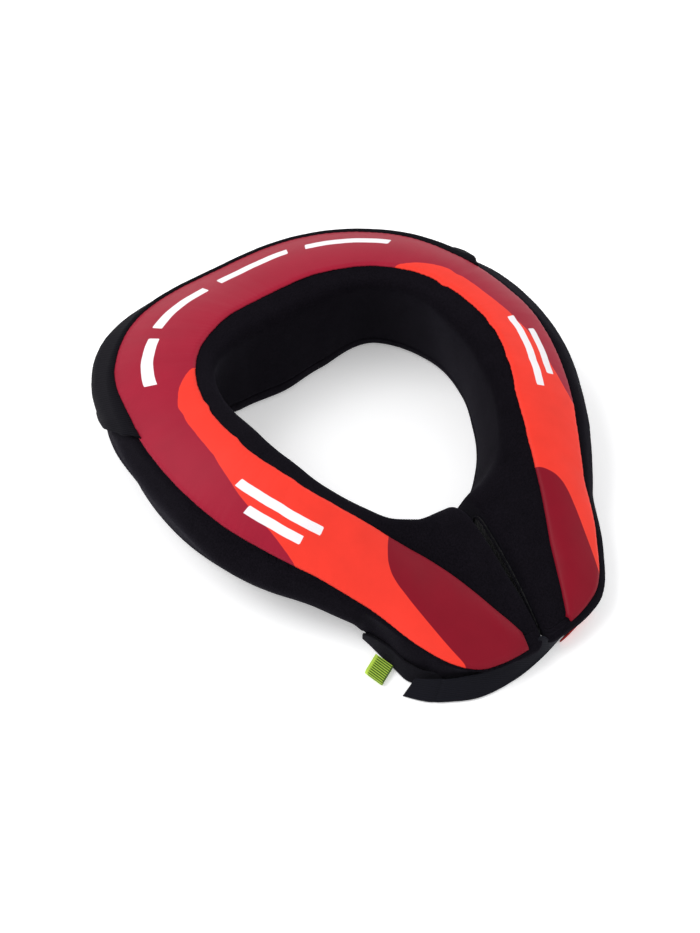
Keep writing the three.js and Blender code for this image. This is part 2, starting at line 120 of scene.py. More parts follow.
# Half of the ring from the middle of the back (turn 0) to the slit (turn 180): shares of the reach
# outwards from the middle of the neck opening, and shares of the rise upwards.
RING = (
    ("turn", "foot_in", "crest_out", "crest_up", "rim_out", "rim_up", "rim", "foot_out"),
    (0, 0.47, 0.49, 0.84, 0.99, 0.59, 0.004, 0.98),
    (22, 0.53, 0.51, 0.87, 1, 0.65, 0.004, 1.02),
    (45, 0.67, 0.54, 0.915, 0.955, 0.745, 0.015, 1),
    (67, 0.63, 0.51, 0.96, 0.87, 0.81, 0.03, 0.85),
    (90, 0.55, 0.47, 0.965, 0.835, 0.79, 0.025, 0.795),
    (112, 0.49, 0.485, 0.915, 0.83, 0.69, 0.055, 0.765),
    (130, 0.475, 0.53, 0.825, 0.85, 0.58, 0.045, 0.765),
    (145, 0.47, 0.58, 0.73, 0.92, 0.435, 0.03, 0.86),
    (157, 0.47, 0.62, 0.675, 1.06, 0.31, 0.02, 1.02),
    (168, 0.48, 0.62, 0.64, 1.19, 0.225, 0.02, 1.04),
    (175, 0.48, 0.615, 0.62, 1.205, 0.205, 0.02, 1.04),
    (180, 0.485, 0.615, 0.605, 1.205, 0.2, 0.02, 1.045),
)
# Inner edge of the panel. The two front ends differ: the left one is broader.
INNER_BACK = (
    ("turn", "out", "up"),
    (0, 0.6, 0.9),
    (22, 0.615, 0.93),
    (45, 0.625, 0.97),
    (67, 0.61, 1),
    (90, 0.59, 1),
    (112, 0.595, 0.96),
)
INNER_LEFT = INNER_BACK + (
    (130, 0.625, 0.865),
    (143, 0.655, 0.74),
    (154, 0.695, 0.59),
    (162, 0.742, 0.478),
    (168, 0.828, 0.412),
    (172, 0.935, 0.35),
    (175, 1.08, 0.28),
    (177, 1.16, 0.23),
    (180, 1.17, 0.225),
)
INNER_RIGHT = INNER_BACK + (
    (130, 0.615, 0.865),
    (144, 0.682, 0.732),
    (151, 0.742, 0.637),
    (158, 0.823, 0.523),
    (166, 0.944, 0.395),
    (170, 1.04, 0.315),
    (173, 1.13, 0.26),
    (175, 1.188, 0.214),
    (180, 1.19, 0.213),
)
# Lower edge of the strap and of the patch; turns left of the slit are negative. "under" is how far the
# upper edge tucks in, "up" how high it lies.
STRAP_RUN = (
    ("turn", "out", "under", "up"),
    (-201.5, 1.06, -0.035, 0.105),
    (-198, 1.088, -0.045, 0.11),
    (-192, 1.13, -0.055, 0.105),
    (-184, 1.172, -0.035, 0.1),
    (-176, 1.219, 0.008, 0.105),
    (-170, 1.25, 0.03, 0.12),
    (-163, 1.27, 0.047, 0.13),
    (-157, 1.247, 0.052, 0.13),
    (-152, 1.178, 0.015, 0.118),
)
PATCH_RUN = (
    ("turn", "out", "under", "up"),
    (-158, 1.188, 0.02, 0.11),
    (-155, 1.165, 0.02, 0.12),
    (-152, 1.13, 0.036, 0.125),
    (-150, 1.068, 0.034, 0.125),
    (-148, 1.012, 0.02, 0.125),
    (-145.5, 0.945, -0.005, 0.115),
    (-144, 0.915, -0.02, 0.09),
)
# Small jogs where the sewn edge of the panel pulls: turn, millimetres inwards, width in degrees
INNER_JOGS = (
    (73, 1.1, 1.8),
    (101, 0.5, 2.2),
    (-73, 0.7, 2.0),
    (-93, 0.8, 2.0),
    (-120, 0.4, 2.4),
    (118, 0.5, 2.0),
)


def between(rows, name, turn):
    """Smooth value of one column between two rows, without overshoot."""
    column = rows[0].index(name)
    turns = [row[0] for row in rows[1:]]
    values = [row[column] for row in rows[1:]]
    last = len(turns) - 1
    if turn <= turns[0]:
        return values[0]
    if turn >= turns[last]:
        return values[last]
    slopes = [(values[i + 1] - values[i]) / (turns[i + 1] - turns[i]) for i in range(last)]

    def tangent(i):
        if i == 0:
            return 0 if turns[0] == 0 else slopes[0]
        if i == last:
            return 0 if turns[0] == 0 else slopes[last - 1]
        product = slopes[i - 1] * slopes[i]
        return 0 if product <= 0 else 2 * product / (slopes[i - 1] + slopes[i])

    i = 0
    while turn > turns[i + 1]:
        i += 1
    width = turns[i + 1] - turns[i]
    t = (turn - turns[i]) / width
    start_weight = 1 - 3 * t * t + 2 * t ** 3
    start_pull = (t - 2 * t * t + t ** 3) * width
    end_pull = (t ** 3 - t * t) * width
    value = start_weight * values[i] + (1 - start_weight) * values[i + 1]
    return value + start_pull * tangent(i) + end_pull * tangent(i + 1)


def smooth(start, end, value):
    """Eases from 0 at the start to 1 at the end."""
    t = min(max((value - start) / (end - start), 0), 1)
    return t * t * (3 - 2 * t)


def swell(span, size):
    """Rises from 0 to 1 and falls back over three turns."""
    start, peak, end = span
    return smooth(start, peak, size) * (1 - smooth(peak, end, size))


HOLE_OUT = between(RING, "crest_out", 180) * REACH
FRONT_OUT = between(RING, "rim_out", 180) * REACH


def place(turn, out, up, bends=True):
    """A point of the section at a signed turn, out from the middle of the opening and up."""
    size = abs(turn)
    side = -1 if turn < 0 else 1
    share = (out - HOLE_OUT) / (FRONT_OUT - HOLE_OUT)
    from_slit = min(size, 360 - size)
    half = SLIT_HALF_AT_HOLE + (SLIT_HALF_AT_FRONT - SLIT_HALF_AT_HOLE) * share
    crossed = -1 if size > 180 else 1
    apart = side * crossed * half * smooth(SLIT_START, 180, from_slit)
    drift = SLIT_DRIFT * share * smooth(DRIFT_START, DRIFT_FULL, from_slit)
    bow = SLIT_BOW * 4 * share * (1 - share)
    shift = SLIT_SHIFT_AT_HOLE + (SLIT_SHIFT_AT_FRONT - SLIT_SHIFT_AT_HOLE) * share + bow
    bend = apart + drift + shift * smooth(SLIT_SHIFT_START, 180, size)
    x = out * math.sin(math.radians(turn)) + (bend if bends else 0)
    return (x, out * math.cos(math.radians(turn)), up)


def inside_strap(turn):
    """How far out the collar may come behind the patch and the strap."""
    def behind(rows, thick, at):
        return (between(rows, "out", at) - between(rows, "under", at)) * REACH - thick - CLEARANCE

    out = REACH
    for _ in range(HUG_PASSES):
        x, y, _ = place(turn, out, 0)
        seen = math.degrees(math.atan2(x, y))
        past = smooth(*PATCH_TO_STRAP, -seen)
        behind_patch = behind(PATCH_RUN, PATCH_THICK, seen)
        behind_strap = behind(STRAP_RUN, STRAP_THICK, seen)
        out += behind_patch * (1 - past) + behind_strap * past - math.hypot(x, y)
    return out - HUG_EASE


def wander(turn, phase):
    """The small unevenness of a sewn line, in millimetres."""
    return sum(amount * math.sin(turn * rate + share * phase) for amount, rate, share in WANDER)


@functools.lru_cache(maxsize=None)
def corners(turn):
    """Corners of one section of the collar."""
    size = abs(turn)
    is_left = turn < 0
    inner_rows = INNER_LEFT if is_left else INNER_RIGHT
    settled = 1 - smooth(*WANDER_FADE, size)
    inner_shift = wander(turn, INNER_PHASE) * settled
    for at, amount, width in INNER_JOGS:
        inner_shift -= amount * math.exp(-((turn - at) / width) ** 2)
    rim_shift = wander(turn, RIM_PHASE) * RIM_WANDER * settled
    if is_left:
        rim_shift += RIM_SKEW * swell(RIM_SKEW_SPAN, size)
    inner = (between(inner_rows, "out", size) * REACH + inner_shift, between(inner_rows, "up", size) * RISE)
    outer = (between(RING, "rim_out", size) * REACH + rim_shift, between(RING, "rim_up", size) * RISE)
    rim = between(RING, "rim", size) * REACH
    run = math.dist(inner, outer)
    slope = ((outer[0] - inner[0]) / run, (outer[1] - inner[1]) / run)
    edge = (outer[0] + slope[0] * rim, outer[1] + slope[1] * rim)
    lean = smooth(LIP_DROP, LIP_DROP * 3, edge[1])
    if is_left:
        hug = smooth(HUG_START, HUG_FULL, size) * (1 - smooth(HUG_END - HUG_FADE, HUG_END, size))
        bulge = BULGE_LEFT * swell(BULGE_LEFT_SPAN, size) - LIP_TUCK * swell(LIP_TUCK_SPAN, size)
    else:
        hug = 0
        bulge = BULGE_RIGHT * swell(BULGE_RIGHT_SPAN, size) + BULGE_FRONT * swell(BULGE_FRONT_SPAN, size)
    lip_out = edge[0] + LIP_OUT * lean + bulge
    if hug > 0:
        lip_out += (inside_strap(turn) - lip_out) * hug
    lip = (lip_out, edge[1] - LIP_DROP * max(LIP_LEAST, lean))
    foot = between(RING, "foot_out", size) * REACH
    return {
        "foot_in": (between(RING, "foot_in", size) * REACH, 0),
        "crest": (between(RING, "crest_out", size) * REACH, between(RING, "crest_up", size) * RISE),
        "inner": inner,
        "outer": outer,
        "edge": edge,
        "lip": lip,
        "foot_out": (foot + (lip[0] - HUG_FOOT - foot) * hug, 0),
        "run": run,
        "slope": slope,
    }


def mix(a, b, share):
    """The point that lies a share of the way from one point to another."""
    return tuple(p + (q - p) * share for p, q in zip(a, b))


def rounded(before, corner, after, radius, steps):
    """Rounded corner between its two neighbours."""
    cut = min(radius, math.dist(before, corner) * CORNER_LIMIT, math.dist(after, corner) * CORNER_LIMIT)
    start = mix(corner, before, cut / math.dist(before, corner))
    end = mix(corner, after, cut / math.dist(after, corner))
    shares = [i / steps for i in range(steps + 1)]
    return [mix(mix(start, corner, share), mix(corner, end, share), share) for share in shares]


def straight(start, end, steps, seam_at=None):
    """Points between two others. A sewn groove can lie at a distance from the start, or, if that is negative,
    from the end."""
    length = math.dist(start, end)
    points = [mix(start, end, i / steps) for i in range(1, steps)]
    if seam_at is None or length < 3 * abs(seam_at):
        return points
    near = seam_at if seam_at > 0 else length + seam_at
    normal = (-(end[1] - start[1]) / length, (end[0] - start[0]) / length)
    kept = [p for p in points if abs(math.dist(start, p) - near) > SEAM_ROOM]
    groove = []
    for offset, depth in SEAM_GROOVE:
        at = mix(start, end, (near + offset) / length)
        groove.append((at[0] - normal[0] * depth, at[1] - normal[1] * depth))

    def gone(p):
        return (p[0] - start[0]) * (end[0] - start[0]) + (p[1] - start[1]) * (end[1] - start[1])

    return sorted(kept + groove, key=gone)


def top_point(c, along, lift):
    """A point of the crowned top, a distance along it from the panel's inner edge, lifted off it."""
    share = along / c["run"]
    bow = CROWN * min(1, c["run"] / CROWN_FULL) * 4 * max(0, share * (1 - share))
    normal = (-c["slope"][1], c["slope"][0])
    return (c["inner"][0] + c["slope"][0] * along + normal[0] * (bow + lift),
            c["inner"][1] + c["slope"][1] * along + normal[1] * (bow + lift))


def sink_at(turn):
    """How deep the panel's bed is; it ends at the panel's two tips."""
    tip = abs(PANEL_TIP_LEFT if turn < 0 else PANEL_TIP_RIGHT)
    return PANEL_SINK * (1 - smooth(tip - TIP_FADE_BEFORE, tip + TIP_FADE_AFTER, abs(turn)))


def collar_section(turn):
    """Closed outline of the section: inner foot, inner wall, crest, bed of the panel, rim, outer wall."""
    c = corners(turn)
    sink = sink_at(turn)
    tuck = sink / PANEL_SINK
    points = rounded(c["foot_out"], c["foot_in"], c["crest"], INNER_FOOT_ROUND, 6)
    crest = rounded(c["foot_in"], c["crest"], c["inner"], CREST_ROUND, 12)
    points += straight(points[-1], crest[0], 16, SEAM_ABOVE_FOOT) + crest
    panel_start = top_point(c, 0, 0)
    points += straight(crest[-1], panel_start, 10)
    points.append(mix(panel_start, crest[-1], min(0.3, 0.7 / math.dist(panel_start, crest[-1]))))
    points.append(top_point(c, 0, -BED_EDGE * tuck))
    bed = c["run"]
    points += [top_point(c, bed * share, -(sink + BED_FLOOR * tuck)) for share in BED_SHARES]
    points.append(top_point(c, bed, -BED_EDGE * tuck))
    rim = rounded(c["outer"], c["edge"], c["lip"], EDGE_ROUND, 9)
    points.append(mix(top_point(c, bed, 0), rim[0], 0.3))
    points += rim
    lip = rounded(c["edge"], c["lip"], c["foot_out"], LIP_ROUND, 9)
    foot = rounded(c["lip"], c["foot_out"], c["foot_in"], OUTER_FOOT_ROUND, 6)
    points += straight(rim[-1], lip[0], 3) + lip
    points += straight(lip[-1], foot[0], 9, -SEAM_ABOVE_FOOT) + foot
    points += straight(points[-1], points[0], 8)
    return points


def drawn_in(points, inset):
    """The section drawn in towards its own middle, for the rounded ends at the slit."""
    middle = tuple(sum(p[k] for p in points) / len(points) for k in (0, 1))
    drawn = []
    for p in points:
        length = math.dist(p, middle)
        drawn.append(mix(middle, p, max(0, length - inset) / length))
    return drawn


def rounded_end(side):
    """Rings over one bent face at the slit, then its rounding out to the full section."""
    loop = drawn_in(collar_section(side * 180), END_ROUND)
    middle = tuple(sum(p[k] for p in loop) / len(loop) for k in (0, 1))
    round_turn = math.degrees(END_ROUND / FRONT_OUT) * END_TURN
    rings = []
    for share in (0.12, 0.3, 0.5, 0.7, 0.86, 0.95):
        rings.append([place(side * 180, *mix(middle, p, share)) for p in loop])
    for share in (1, 0.92, 0.78, 0.6, 0.42, 0.25, 0.1):
        inset = END_ROUND * (1 - math.sqrt(1 - share * share))
        turn = side * (180 - round_turn * (1 - share))
        rings.append([place(turn, *p) for p in drawn_in(collar_section(turn), inset)])
    return rings, 180 - round_turn


def show(name, points, faces, material):
    """A smooth mesh piece from points in millimetres about the neck's middle, riding on the one body."""
    mesh = bpy.data.meshes.new(name)
    moved = [((p[0] + NECK_CENTRE[0]) * MM, (p[1] + NECK_CENTRE[1]) * MM, p[2] * MM) for p in points]
    mesh.from_pydata(moved, [], faces)
    mesh.validate()
    mesh.polygons.foreach_set("use_smooth", [True] * len(mesh.polygons))
    made = bpy.data.objects.new(name, mesh)
    bpy.context.scene.collection.objects.link(made)
    mesh.materials.append(material)
    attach(made, "root")
    return made


def closed_loft(rings):
    """Points and faces of a closed body from rings, capped from the middle of its two end rings."""
    count = len(rings[0])
    points = [p for ring in rings for p in ring]
    faces = []
    for s in range(len(rings) - 1):
        for i in range(count):
            j = (i + 1) % count
            faces.append((s * count + i, s * count + j, (s + 1) * count + j, (s + 1) * count + i))
    for s, flip in ((0, False), (len(rings) - 1, True)):
        ring = rings[s]
        centre = len(points)
        points.append(tuple(sum(p[k] for p in ring) / count for k in range(3)))
        for i in range(count):
            a, b = s * count + i, s * count + (i + 1) % count
            faces.append((centre, a, b) if flip else (centre, b, a))
    return points, faces


def soft_dent(p):
    """How far the foam stands proud or sinks at a point: slow swells and hollows of a hand-sewn cover."""
    x, y, z = (v * 0.01 for v in p)
    slow = math.sin(5.1 * x + 1.7 * y + 3 * z) * math.sin(4.3 * y - 2.2 * x + 1.1)
    quick = math.sin(13 * x + 7 * z + 2) * math.sin(11 * y + 5 * z - 1) * math.sin(9 * z + 4 * x)
    return SLOW_DENT * slow + QUICK_DENT * quick


def linear(hex_colour):
    """An sRGB hex colour as the linear colour that a shader takes."""
    channels = [int(hex_colour[i:i + 2], 16) / 255 for i in (1, 3, 5)]
    return tuple(c / 12.92 if c <= 0.04045 else ((c + 0.055) / 1.055) ** 2.4 for c in channels) + (1,)


def add_node(material, kind, settings=None, inputs=None):
    """Adds a node, sets its properties, and fills its sockets with values or with other nodes' outputs."""
    node = material.node_tree.nodes.new(kind)
    for name, value in (settings or {}).items():
        setattr(node, name, value)
    for name, value in (inputs or {}).items():
        socket = node.inputs[name]
        if isinstance(value, bpy.types.NodeSocket):
            material.node_tree.links.new(value, socket)
        else:
            socket.default_value = value
    return node


def speckled(spacing, dark, light):
    """Colour of a plain cloth: two shades in specks about a spacing in millimetres apart."""
    def colour(material):
        place_node = add_node(material, "ShaderNodeTexCoord")
        specks = add_node(material, "ShaderNodeTexNoise", None, {
            "Vector": place_node.outputs["Object"], "Scale": 1 / (spacing * MM), "Detail": 2.0})
        return add_node(material, "ShaderNodeMix", {"data_type": "RGBA"}, {
            "Factor": specks.outputs["Fac"], 6: linear(dark), 7: linear(light)}).outputs[2]

    return colour


def new_cloth(name, roughness, sheen, sheen_tint, colour, bump, specular=0.5):
    """A cloth material on the standard shader: its colour and its bump come from the caller's nodes."""
    material = bpy.data.materials.new(name)
    material.use_nodes = True
    material.node_tree.nodes.clear()
    shader = add_node(material, "ShaderNodeBsdfPrincipled", None, {
        "Base Color": colour(material), "Roughness": roughness, "Specular IOR Level": specular,
        "Sheen Weight": sheen, "Sheen Roughness": 0.5, "Sheen Tint": linear(sheen_tint),
        "Normal": bump(material)})
    add_node(material, "ShaderNodeOutputMaterial", None, {"Surface": shader.outputs["BSDF"]})
    return material


# Brushed polyester fleece: near black with a violet cast. Its short pile gives a fine salt of lighter
# fibre ends about 0.6 mm apart, cloudy patches where the pile leans, and a faint halo at grazing angles.
FLEECE_DARK = "#060508"
FLEECE_LIGHT = "#151218"
FIBRE_SPACING = 0.6
PILE_CLOUD = 9
PILE_SPACING = 0.45
PILE_DEPTH = 0.35


def fleece_colour(material):
    place_node = add_node(material, "ShaderNodeTexCoord")
    cloud = add_node(material, "ShaderNodeTexNoise", None, {
        "Vector": place_node.outputs["Object"], "Scale": 1 / (PILE_CLOUD * MM), "Detail": 3.0})
    fibres = add_node(material, "ShaderNodeTexNoise", None, {
        "Vector": place_node.outputs["Object"], "Scale": 1 / (FIBRE_SPACING * MM), "Detail": 2.0})
    both = add_node(material, "ShaderNodeMath", {"operation": "MULTIPLY_ADD"}, {
        0: cloud.outputs["Fac"], 1: 0.22, 2: fibres.outputs["Fac"]})
    share = add_node(material, "ShaderNodeMapRange", None, {
        "Value": both.outputs[0], "From Min": 0.36, "From Max": 0.86})
    return add_node(material, "ShaderNodeMix", {"data_type": "RGBA"}, {
        "Factor": share.outputs["Result"], 6: linear(FLEECE_DARK), 7: linear(FLEECE_LIGHT)}).outputs[2]


def pile_bump(material):
    place_node = add_node(material, "ShaderNodeTexCoord")
    pile = add_node(material, "ShaderNodeTexNoise", None, {
        "Vector": place_node.outputs["Object"], "Scale": 1 / (PILE_SPACING * MM), "Detail": 3.0})
    return add_node(material, "ShaderNodeBump", None, {
        "Strength": 0.7, "Distance": PILE_DEPTH * MM, "Height": pile.outputs["Fac"]}).outputs["Normal"]


brushed_fleece = new_cloth("brushed_polyester_fleece", 0.95, 0.07, "#88849A", fleece_colour, pile_bump, 0.03)

left_end, end_turn = rounded_end(-1)
right_end, _ = rounded_end(1)
station_turns = [end_turn * (-1 + 2 * i / COLLAR_STATIONS) for i in range(COLLAR_STATIONS + 1)]
rings = left_end + [[place(t, *p) for p in collar_section(t)] for t in station_turns] + right_end[::-1]
collar_points, collar_faces = closed_loft(rings)
padded_collar = show("padded_collar_fleece", collar_points, collar_faces, brushed_fleece)
padded_collar.data.update()
vertices = padded_collar.data.vertices
outwards = [tuple(vertex.normal) for vertex in vertices]
dented = []
for vertex, normal in zip(vertices, outwards):
    at = [v / MM for v in vertex.co]
    rise = smooth(DENT_START, DENT_FULL, at[2])
    dented += [v + n * soft_dent(at) * rise * MM for v, n in zip(vertex.co, normal)]
vertices.foreach_set("co", dented)
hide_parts("padded_collar")

# Printed panel
# One piece of smooth warp-knit polyester, dyed right through by transfer print, laid over the sloping
# top and sewn down along both edges, where the thread pulls it into the foam.
PANEL_LIFT = 0.3
PANEL_STATIONS = 560
PANEL_ACROSS = 40
PANEL_THICK = 1.0
PANEL_LONG = 620
PANEL_WIDE = 45
# Its sewn edges: distances of the points beside them, the roll into the seam and the puckers along it
EDGE_STEPS = (0.12, 0.35, 0.7, 1.2, 1.9, 2.8)
EDGE_FULL_WIDTH = 12
EDGE_ROLL = 0.45
EDGE_ROLL_DEPTH = 1.15
PUCKER_STEP = 3.1
PUCKER_HEIGHT = 0.13
PUCKER_REACH = 3.2
PUCKER_DRIFT = 2.3
PUCKER_DRIFT_RATE = 0.11
PUCKER_OUTER_PHASE = 2
PUCKER_FADE = (150, 172)
# Upper edge of the orange area: turn and share of the panel's width from its inner edge
ORANGE_START = 51
ORANGE_EDGE = (
    ("turn", "share"),
    (ORANGE_START, -0.02),
    (54, 0.05),
    (59, 0.16),
    (65, 0.27),
    (71, 0.335),
    (80, 0.335),
    (88, 0.35),
    (98, 0.42),
    (107, 0.55),
    (121, 0.79),
    (128.5, 1.02),
)
# Where the front area starts: share of the width and turn
FRONT_EDGE = (
    ("share", "turn"),
    (-0.02, 153.1),
    (0.15, 152.2),
    (0.3, 151.9),
    (0.42, 152.4),
    (0.5, 153.6),
    (0.57, 155.4),
    (0.76, 159.9),
    (1.02, 164.4),
)
# Plain white bars: first and last turn, middle share of the width, half width in mm, slant in degrees
WHITE_BARS = (
    (-57, -36, 0.56, 3.4, 4),
    (-31, -9, 0.6, 3.4, 4),
    (-4, 18, 0.62, 3.4, 4),
    (23, 47, 0.6, 3.4, 4),
    (-133, -105, 0.42, 2.3, 5),
    (-128, -111, 0.66, 2.3, 5),
    (99, 127, 0.38, 2.3, -5),
    (104, 121, 0.62, 2.3, -5),
)
# Distances in mm that stand for far outside an area, and half the softness of its edge
FAR_FROM_ORANGE = -5
FAR_FROM_WHITE = 9.0
PRINT_SOFTNESS = 0.12


def panel_distances(run):
    """Distances across the panel from its inner edge, close together at both edges."""
    scale = min(1, run / EDGE_FULL_WIDTH)
    near = [d * scale for d in EDGE_STEPS]
    first, last = near[-1], run - near[-1]
    middle = [first + (last - first) * i / PANEL_ACROSS for i in range(1, PANEL_ACROSS)]
    return near + middle + [run - d for d in reversed(near)]


def sewn_edge(along, run, arc, size):
    """Height of the panel near its seams: it rolls down into them and puckers along them."""
    nearest = min(along, run - along)
    roll = EDGE_ROLL_DEPTH * math.exp(-nearest / EDGE_ROLL)
    phase = PUCKER_DRIFT * math.sin(arc * PUCKER_DRIFT_RATE)
    phase += 0 if along < run - along else PUCKER_OUTER_PHASE
    pucker = PUCKER_HEIGHT * math.exp(-nearest / PUCKER_REACH)
    pucker *= math.sin(2 * math.pi * arc / PUCKER_STEP + phase)
    return pucker * (1 - smooth(*PUCKER_FADE, size)) - roll


def print_marks(turn, share, run, middle_out):
    """Distance in mm from the edges of the orange area, the front area and the nearest white bar."""
    size = abs(turn)
    orange = FAR_FROM_ORANGE
    if size > ORANGE_START:
        orange = (between(ORANGE_EDGE, "share", size) - share) * run
    front = math.radians(size - between(FRONT_EDGE, "turn", share)) * middle_out
    white = FAR_FROM_WHITE
    for start, end, middle_share, half, slant in WHITE_BARS:
        leaned = turn - slant * (share - middle_share)
        beside = math.radians(abs(leaned - (start + end) / 2) - (end - start) / 2) * middle_out
        over = abs(share - middle_share) * run - half
        white = min(white, max(beside, over))
    return orange, front, -white


def grid_faces(steps, across):
    """Faces of a grid of points, row by row."""
    width = across + 1
    return [(s * width + i, s * width + i + 1, (s + 1) * width + i + 1, (s + 1) * width + i)
            for s in range(steps) for i in range(across)]


def thicken(made, name, thick, offset=-1):
    """Gives a surface its thickness in millimetres, inwards or (offset 1) outwards."""
    skin = made.modifiers.new(name, "SOLIDIFY")
    skin.thickness = thick * MM
    skin.offset = offset


panel_points, panel_marks = [], []
arc = 0.0
turn_step = (PANEL_TIP_RIGHT - PANEL_TIP_LEFT) / PANEL_STATIONS
for s in range(PANEL_STATIONS + 1):
    turn = PANEL_TIP_LEFT + turn_step * s
    c = corners(turn)
    middle_out = (c["inner"][0] + c["outer"][0]) / 2
    arc += math.radians(turn_step) * middle_out
    for along in panel_distances(c["run"]):
        lift = PANEL_LIFT + sewn_edge(along, c["run"], arc, abs(turn))
        panel_points.append(place(turn, *top_point(c, along, lift)))
        panel_marks.append(print_marks(turn, along / c["run"], c["run"], middle_out))
panel_width = len(panel_points) // (PANEL_STATIONS + 1)
panel_faces = grid_faces(PANEL_STATIONS, panel_width - 1)

# Warp-knit polyester with transfer print: a smooth satin face with a fine grain of stitches 0.5 mm apart
# and faint broad waves 9 mm apart, edges of the print crisp to a tenth of a millimetre.
MAROON = "#9A1730"
# The front area is a print area of its own in maroon. Its colour is the back's maroon painted darker, as painted
# shade for the front that lies away from the key light.
FRONT_MAROON_SHADED = "#80081F"
ORANGE = "#EE3A2C"
WHITE = "#F2EEF2"
WAVE_SPACING = 9
GRAIN_SPACING = 0.5
UNEVEN_SPACING = 14
# A wave texture repeats every 0.314 units at scale 1
WAVE_UNIT = 0.314


def print_colour(material):
    def inside(name):
        mark = add_node(material, "ShaderNodeAttribute", {"attribute_name": name})
        return add_node(material, "ShaderNodeMapRange", None, {
            "Value": mark.outputs["Fac"], "From Min": -PRINT_SOFTNESS, "From Max": PRINT_SOFTNESS,
        }).outputs["Result"]

    painted = linear(MAROON)
    # The front area takes the darker maroon: painted shade.
    for name, colour in (("orange", ORANGE), ("front", FRONT_MAROON_SHADED), ("white", WHITE)):
        painted = add_node(material, "ShaderNodeMix", {"data_type": "RGBA"}, {
            "Factor": inside(name), 6: painted, 7: linear(colour)}).outputs[2]
    place_node = add_node(material, "ShaderNodeTexCoord")
    uneven = add_node(material, "ShaderNodeTexNoise", None, {
        "Vector": place_node.outputs["Object"], "Scale": 1 / (UNEVEN_SPACING * MM), "Detail": 4.0})
    shade = add_node(material, "ShaderNodeMapRange", None, {
        "Value": uneven.outputs["Fac"],
        "From Min": 0.3, "From Max": 0.7, "To Min": 0.95, "To Max": 1.03})
    return add_node(material, "ShaderNodeMix", {"data_type": "RGBA", "blend_type": "MULTIPLY"}, {
        "Factor": 1.0, 6: painted, 7: shade.outputs["Result"]}).outputs[2]


def knit_bump(material):
    place_node = add_node(material, "ShaderNodeUVMap", {"uv_map": "run"})
    waves = add_node(material, "ShaderNodeTexWave", {"bands_direction": "X"}, {
        "Vector": place_node.outputs["UV"], "Scale": WAVE_UNIT / (WAVE_SPACING * MM), "Distortion": 0.6})
    place_grain = add_node(material, "ShaderNodeTexCoord")
    grain = add_node(material, "ShaderNodeTexNoise", None, {
        "Vector": place_grain.outputs["Object"], "Scale": 1 / (GRAIN_SPACING * MM), "Detail": 2.0})
    both = add_node(material, "ShaderNodeMath", {"operation": "ADD"}, {
        0: waves.outputs["Fac"], 1: grain.outputs["Fac"]})
    return add_node(material, "ShaderNodeBump", None, {
        "Strength": 0.25, "Distance": 0.12 * MM, "Height": both.outputs[0]}).outputs["Normal"]


printed_knit = new_cloth("printed_warp_knit_polyester", 0.5, 0.05, "#FFB4B8", print_colour, knit_bump,
                         0.12)
printed_panel = show("printed_panel_knit", panel_points, panel_faces, printed_knit)
for k, name in enumerate(("orange", "front", "white")):
    layer = printed_panel.data.attributes.new(name, "FLOAT", "POINT")
    layer.data.foreach_set("value", [marks[k] for marks in panel_marks])
run_layer = printed_panel.data.uv_layers.new(name="run")
for loop in printed_panel.data.loops:
    s, i = divmod(loop.vertex_index, panel_width)
    run_layer.data[loop.index].uv = (s / PANEL_STATIONS * PANEL_LONG * MM, i / panel_width * PANEL_WIDE * MM)
thicken(printed_panel, "knit_thickness", PANEL_THICK)
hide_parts("printed_panel")

# Back band
# A smoother, greyer woven cloth sewn over the outer wall round the back of the neck. Its top edge
# is caught in the panel's seam and its two ends are folded under and stitched.
BAND_THICK = 1.3
BAND_END_LEFT = -72.5
BAND_END_RIGHT = 73
BAND_SLANT = 0.5
BAND_SHARE_TURN = -60
BAND_EASE = 0.2
BAND_FOOT = 6
BAND_FOOT_ROOM = 0.5
BAND_STATIONS = 200
BAND_RADIUS = 112
WALL_ROUND_STEPS = 10
WALL_STEPS = 8
# Its face above the collar's wall, and how its top edge dips into the seam
BAND_FACE = BAND_THICK + CLEARANCE + BAND_EASE
BAND_SETTLE = 0.4
BAND_TUCK = 0.9
BAND_TUCK_POINTS = 0.8
BAND_CLOTH = 1.1
HEM_WIDTH = 5.5
HEM_SOFTNESS = 0.6
HEM_RISE = 0.55


@functools.lru_cache(maxsize=None)
def outer_wall(turn):
    """The outer wall from the panel's edge over the rim and down to just above the ground."""
    c = corners(turn)
    wall = [top_point(c, c["run"], 0)]
    wall += rounded(c["outer"], c["edge"], c["lip"], EDGE_ROUND, WALL_ROUND_STEPS)
    wall += rounded(c["edge"], c["lip"], c["foot_out"], LIP_ROUND, WALL_ROUND_STEPS)
    foot = rounded(c["lip"], c["foot_out"], c["foot_in"], OUTER_FOOT_ROUND, 3)[0]
    last = wall[-1]
    share = (last[1] - max(BAND_FOOT, foot[1] + BAND_FOOT_ROOM)) / (last[1] - foot[1])
    bottom = mix(last, foot, share)
    wall += [mix(last, bottom, i / WALL_STEPS) for i in range(1, WALL_STEPS + 1)]
    return wall


@functools.lru_cache(maxsize=None)
def wall_share(i):
    """How far down the outer wall its point i lies, as a share of the wall's length at the side."""
    wall = outer_wall(BAND_SHARE_TURN)
    steps = [math.dist(a, b) for a, b in zip(wall, wall[1:])]
    return sum(steps[:i]) / sum(steps)


def band_point(turn, i, lift):
    """A point lifted off the outer wall; the lower it lies, the nearer it is to the middle of the back."""
    slanted = turn * (1 - BAND_SLANT * wall_share(i))
    wall = outer_wall(slanted)
    before, after = wall[max(0, i - 1)], wall[min(len(wall) - 1, i + 1)]
    length = math.dist(before, after)
    run = ((after[0] - before[0]) / length, (after[1] - before[1]) / length)
    return place(slanted, wall[i][0] - run[1] * lift, wall[i][1] + run[0] * lift)


